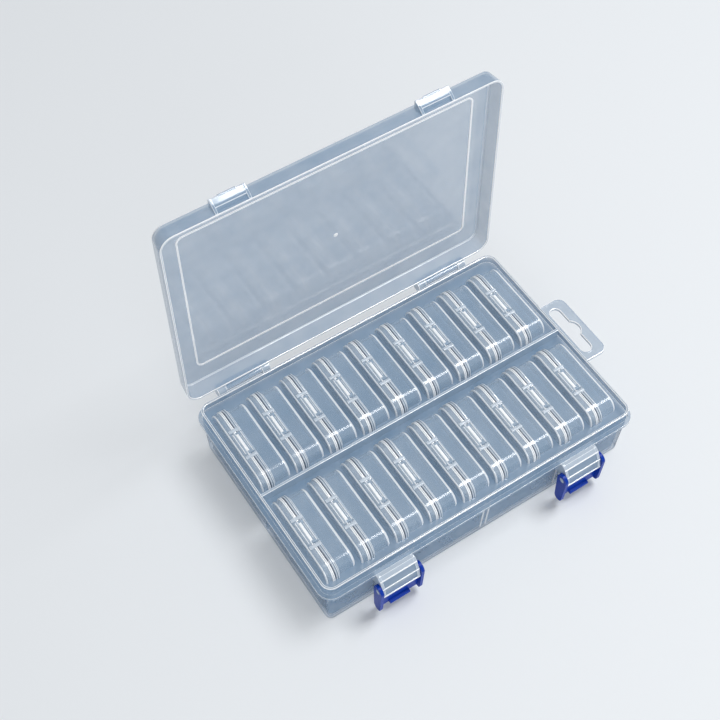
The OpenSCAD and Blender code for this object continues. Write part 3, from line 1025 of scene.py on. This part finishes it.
class ORGANIZER_OT_small_boxes(bpy.types.Operator):
    """Build the eighteen small boxes, each a flanged tub and a lid with a clasp"""

    bl_idname = "organizer.small_boxes"
    bl_label = "Small boxes"

    def tub(self, sizes):
        """Tub from its flange at the lid to its closed end, with the nubs that guard the clasp"""
        edge = sizes.box_edge_rounding / MM
        top = BOX_HALF_HEIGHT
        body = tuple(size - BOX_INSET for size in BOX)
        inside = tuple(size - BOX_WALL for size in body)
        groove = tuple(size - 0.4 for size in BOX)
        bm = new_shape()
        loft(
            bm,
            [
                (body, BOX_DEPTH),
                (body, 8.2),
                (body, 7.7),
                (body, FLANGE_END),
                (BOX, FLANGE_END),
                (BOX, 6.7),
                (BOX, 6.1),
                (BOX, 5.6),
                (groove, 5.5),
                (groove, 4.8),
                (BOX, 4.7),
                (BOX, FLANGE_START),
                (inside, FLANGE_START),
                (inside, BOX_DEPTH - BOX_WALL),
            ],
        )
        soften(bm, sizes.box_end_rounding / MM, 4, 0.75, at_height(BOX_DEPTH))
        soften(bm, 0.9, 3, 0.25, at_height(BOX_DEPTH - BOX_WALL))
        soften(bm, edge, sizes.edge_steps, 1.0, at_height(FLANGE_END))
        soften(bm, edge, sizes.edge_steps, 0.8, at_height(FLANGE_START))
        # from the mouth to the body: thin lines in turn of painted highlight and painted shade
        for start, end, pale in (
            (4.35, 4.75, 1.0),
            (4.75, 5.52, -1.0),
            (5.52, 6.1, 0.55),
            (6.1, 6.7, -0.5),
            (6.7, 7.09, 0.7),
            (7.11, 7.7, -0.6),
            (7.7, 8.2, 0.5),
        ):
            tone(bm, pale, lambda co: start < co.z < end)
        mesh = to_mesh(bm, "tub", ALONG_X)

        # slots for the lid's two arms, and room for its tongue
        bm = new_shape()
        arm_slot, tongue_room = rounded((1.4, 1.55, 0)), rounded((7.4, 1.35, 0))
        for middle in HINGE_ARMS:
            slab(bm, arm_slot, 0.0, 6.75, Matrix.Translation((middle, 0.55 - top, 0)))
        slab(bm, tongue_room, 0.0, 8.1, Matrix.Translation((0, top + 0.65, 0)))
        mesh = carve(mesh, to_mesh(bm, "slots", ALONG_X))

        # a nub guards each side of the clasp, and its foot joins it to the flange
        bm = new_shape()
        nub = block(1.0, 0.95, top + 0.1, top + 0.8, 0.6)
        foot = block(0.9, 0.9, top - 0.5, top + 0.4)
        for middle in GUARD_NUBS:
            shift = Matrix.Translation((middle, 0, 0))
            slab(bm, nub, 1.1, FLANGE_END + 0.2, shift, pale=0.35)
            slab(bm, foot, FLANGE_START + 0.2, FLANGE_END + 0.1, shift, pale=0.2)
        soften(bm, 0.2, sizes.edge_steps, 1.0)
        return mesh, to_mesh(bm, "nubs", ALONG_X)

    def cover(self, sizes):
        """Small lid with a beaded open edge, its clasp tongue above and its hinge arms below"""
        edge = sizes.box_edge_rounding / MM
        side = tuple(size - 0.35 for size in BOX)
        inside = tuple(size - BOX_WALL for size in BOX)
        bm = new_shape()
        loft(
            bm,
            [
                (side, 0.0),
                (side, 3.3),
                (BOX, 3.4),
                (BOX, LID_DEPTH),
                (inside, LID_DEPTH),
                (inside, BOX_WALL),
            ],
        )
        soften(bm, 0.7, 3, 0.75, at_height(0.0))
        soften(bm, edge, sizes.edge_steps, 1.0, at_height(LID_DEPTH))
        soften(bm, 0.5, 2, 0.3, at_height(BOX_WALL))
        # painted shade on the band behind the face's edge, and a painted highlight on the bead at
        # the open edge
        tone(bm, -0.25, lambda co: 0.75 < co.z < 3.3)
        tone(bm, 1.0, lambda co: 3.3 < co.z)
        mesh = to_mesh(bm, "cover", ALONG_X)

        bm = new_shape()
        top = BOX_HALF_HEIGHT
        tongue = [
            (1.2, top - 0.5),
            (7.0, top - 0.5),
            (7.4, top - 1.0),
            (8.0, top - 1.0),
            (7.9, top + 0.2, 0.3),
            (6.8, top + 0.5, 0.4),
            (2.0, top + 0.5, 0.4),
            (1.3, top + 0.2, 0.3),
        ]
        slab(bm, tongue, -7.0, 7.0, TONGUE_TURN, pale=0.1)
        # the thumb grip: a broad bead between thin ones, each painted pale as a highlight
        for start, end, reach, pale in (
            (1.9, 2.4, 6.5, 0.8),
            (3.4, 4.9, 5.6, 1.0),
            (5.6, 5.9, 4.5, 0.7),
            (6.4, 6.9, 6.5, 0.8),
        ):
            bead = [(start, top), (end, top), (end, top + 0.8, 0.2), (start, top + 0.8, 0.2)]
            slab(bm, bead, -reach, reach, TONGUE_TURN, pale=pale)
        arm = block(1.2, 1.2, -top, 2.0 - top)
        for middle in HINGE_ARMS:
            slab(bm, arm, 0.6, 6.55, Matrix.Translation((middle, 0, 0)), pale=0.3)
        soften(bm, 0.2, sizes.edge_steps, 1.0)
        clasp = to_mesh(bm, "clasp", ALONG_X)
        return mesh, clasp

    def execute(self, context):
        sizes = context.scene.organizer_sizes
        plastic = box_plastic(context)
        # the two pieces made for each node; the shell is the one that stands for it
        parts = {
            "tub": dict(zip(("tub_shell", "nubs"), self.tub(sizes))),
            "lid": dict(zip(("cover_shell", "clasp"), self.cover(sizes))),
        }
        for body in frame["bodies"]:
            if not body.startswith("box_"):
                continue
            low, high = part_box(f"{body}_lid")
            middle = Vector((low.x, (low.y + high.y) / 2, low.z + BOX_HALF_HEIGHT * MM))
            for kind, meshes in parts.items():
                for name, pattern in meshes.items():
                    mesh = pattern.copy()
                    mesh.name = f"{body}_{name}"
                    mesh.transform(Matrix.Translation(middle))
                    nodes = [f"{body}_{kind}"] if name.endswith("_shell") else []
                    add_piece(mesh, body, plastic, nodes)
        for meshes in parts.values():
            for pattern in meshes.values():
                bpy.data.meshes.remove(pattern)
        return {"FINISHED"}


def seen(tree):
    """1 where the camera looks, also in a reflection or through glass, and 0 for light"""
    path = add_node(tree, "ShaderNodeLightPath").outputs
    looked = add_node(
        tree,
        "ShaderNodeMath",
        {0: path["Is Camera Ray"], 1: path["Is Glossy Ray"]},
        operation="MAXIMUM",
    ).outputs[0]
    return add_node(
        tree, "ShaderNodeMath", {0: looked, 1: path["Is Transmission Ray"]}, operation="MAXIMUM"
    ).outputs[0]


class ORGANIZER_OT_studio(bpy.types.Operator):
    """Build the pale floor, the lights, the background and the camera"""

    bl_idname = "organizer.studio"
    bl_label = "Studio"

    def floor(self, context):
        """Broad sheet of matt card: pressed paper with a faint fibre mottle"""
        half_size, below, fibre_size = 20.0, 0.25 * MM, 3 * MM
        near, far_off = 0.4, 1.3  # metres
        tint = context.scene.organizer_studio.floor_colour
        material = blank_material("matt card")
        tree = material.node_tree
        where = add_node(tree, "ShaderNodeTexCoord").outputs["Object"]
        fibre = add_node(
            tree, "ShaderNodeTexNoise", {"Vector": where, "Scale": 1 / fibre_size, "Detail": 4.0}
        ).outputs["Fac"]
        rough = add_node(
            tree, "ShaderNodeMapRange", {"Value": fibre, "To Min": 0.55, "To Max": 0.7}
        ).outputs["Result"]
        card = add_node(
            tree, "ShaderNodeBsdfPrincipled", {"Base Color": tint, "Roughness": rough, "IOR": 1.4}
        )
        # beyond the object's shadow the card runs over into the backdrop, out of the lamps' reach
        away = add_node(
            tree, "ShaderNodeVectorMath", {0: where}, operation="LENGTH"
        ).outputs["Value"]
        far = add_node(
            tree,
            "ShaderNodeMapRange",
            {"Value": away, "From Min": near, "From Max": far_off},
            interpolation_type="SMOOTHSTEP",
        ).outputs["Result"]
        part = add_node(
            tree, "ShaderNodeMath", {0: far, 1: seen(tree)}, operation="MULTIPLY"
        ).outputs[0]
        backdrop = add_node(tree, "ShaderNodeEmission", {"Color": tint, "Strength": 1.0})
        mixed = add_node(
            tree, "ShaderNodeMixShader", {0: part, 1: card.outputs[0], 2: backdrop.outputs[0]}
        )
        add_node(tree, "ShaderNodeOutputMaterial", {"Surface": mixed.outputs[0]})
        bm = bmesh.new()
        bmesh.ops.create_grid(bm, x_segments=1, y_segments=1, size=half_size)
        bmesh.ops.translate(bm, vec=(0, 0, -below), verts=bm.verts)
        mesh = bpy.data.meshes.new("floor")
        bm.to_mesh(mesh)
        bm.free()
        mesh.materials.append(material)
        obj = bpy.data.objects.new("floor", mesh)
        context.scene.collection.objects.link(obj)

    def lights(self, context):
        """Two soft boxes, and an even light from all round"""
        studio = context.scene.organizer_studio
        # overhead and to the right, where the rounded shoulders of the right-hand boxes glint at
        # the camera, and low in front, for the inside of the standing lid
        for name, towards, distance, length, width, power in (
            ("overhead", (0.43, -0.03, 0.9), 2.1, 0.95, 0.75, studio.key_power),
            ("front", (-0.25, -0.85, 0.45), 2.2, 1.2, 1.2, studio.fill_power),
        ):
            lamp = bpy.data.lights.new(name, "AREA")
            lamp.shape = "RECTANGLE"
            lamp.size = length
            lamp.size_y = width
            lamp.energy = power
            obj = bpy.data.objects.new(name, lamp)
            aim = Vector(towards).normalized()
            side = aim.cross(Vector((1, 0, 0))).normalized()
            turn = Matrix((side.cross(aim), side, aim)).transposed().to_4x4()
            obj.matrix_world = Matrix.Translation(aim * distance) @ turn
            context.scene.collection.objects.link(obj)

        world = bpy.data.worlds.new("soft box")
        world.use_nodes = True
        tree = world.node_tree
        tree.nodes.clear()
        light = add_node(
            tree, "ShaderNodeBackground", {"Color": (1, 1, 1, 1), "Strength": studio.sky_strength}
        )
        backdrop = add_node(
            tree, "ShaderNodeBackground", {"Color": studio.floor_colour, "Strength": 1.0}
        )
        mixed = add_node(
            tree,
            "ShaderNodeMixShader",
            {0: seen(tree), 1: light.outputs[0], 2: backdrop.outputs[0]},
        )
        add_node(tree, "ShaderNodeOutputWorld", {"Surface": mixed.outputs[0]})
        context.scene.world = world

    def camera(self, context):
        """The photograph's view, fitted to the case's edges"""
        azimuth, elevation, roll = (math.radians(a) for a in (-33.89, 55.89, 0.71))
        target = Vector((-0.41, 51.99, 20.0)) * MM
        distance = 766.34 * MM
        back = Vector(
            (
                math.sin(azimuth) * math.cos(elevation),
                -math.cos(azimuth) * math.cos(elevation),
                math.sin(elevation),
            )
        )
        right = (-back).cross(Vector((0, 0, 1))).normalized()
        up = right.cross(-back)
        axis_x = math.cos(roll) * right + math.sin(roll) * up
        axis_y = math.cos(roll) * up - math.sin(roll) * right
        data = bpy.data.cameras.new("camera")
        data.lens = 69.33
        data.sensor_width = 36.0
        data.clip_start = 0.01
        data.clip_end = 50.0
        obj = bpy.data.objects.new("camera", data)
        turn = Matrix((axis_x, axis_y, back)).transposed().to_4x4()
        obj.matrix_world = Matrix.Translation(target + back * distance) @ turn
        context.scene.collection.objects.link(obj)
        context.scene.camera = obj

    def execute(self, context):
        self.floor(context)
        self.lights(context)
        self.camera(context)
        context.scene.view_settings.view_transform = "Standard"
        # a line of sight crosses up to forty walls of the small boxes
        context.scene.cycles.transparent_max_bounces = 64
        return {"FINISHED"}


class ORGANIZER_PT_panel(bpy.types.Panel):
    """Lists the organizer's pieces, sizes and finishes"""

    bl_label = "Bead organizer"
    bl_idname = "ORGANIZER_PT_panel"
    bl_space_type = "VIEW_3D"
    bl_region_type = "UI"
    bl_category = "Organizer"

    def draw(self, context):
        for operator in OPERATORS:
            self.layout.operator(operator.bl_idname)
        scene = context.scene
        for group in (scene.organizer_sizes, scene.organizer_finishes, scene.organizer_studio):
            box = self.layout.box()
            for name in type(group).__annotations__:
                box.prop(group, name)


OPERATORS = (
    ORGANIZER_OT_tray,
    ORGANIZER_OT_hang_tab,
    ORGANIZER_OT_brackets,
    ORGANIZER_OT_hinge_seats,
    ORGANIZER_OT_lid,
    ORGANIZER_OT_latches,
    ORGANIZER_OT_small_boxes,
    ORGANIZER_OT_studio,
)
GROUPS = {
    "organizer_sizes": OrganizerSizes,
    "organizer_finishes": OrganizerFinishes,
    "organizer_studio": OrganizerStudio,
}


def register():
    for cls in (*GROUPS.values(), *OPERATORS, ORGANIZER_PT_panel):
        bpy.utils.register_class(cls)
    for name, cls in GROUPS.items():
        setattr(bpy.types.Scene, name, PointerProperty(type=cls))


def unregister():
    for name in GROUPS:
        delattr(bpy.types.Scene, name)
    for cls in (ORGANIZER_PT_panel, *reversed(OPERATORS), *reversed(GROUPS.values())):
        bpy.utils.unregister_class(cls)


def main():
    register()
    bpy.ops.organizer.tray()
    bpy.ops.organizer.hang_tab()
    bpy.ops.organizer.brackets()
    bpy.ops.organizer.hinge_seats()
    bpy.ops.organizer.lid()
    bpy.ops.organizer.latches()
    bpy.ops.organizer.small_boxes()
    bpy.ops.organizer.studio()
    plastics = {"case_plastic": case_plastic, "box_plastic": box_plastic}
    for part in frame["record"]["subparts"]:
        if part["material_slot"] in plastics:
            mesh = frame["nodes"][part["node"]].data
            mesh.materials.clear()
            mesh.materials.append(plastics[part["material_slot"]](bpy.context))


if __name__ == "__main__":
    main()
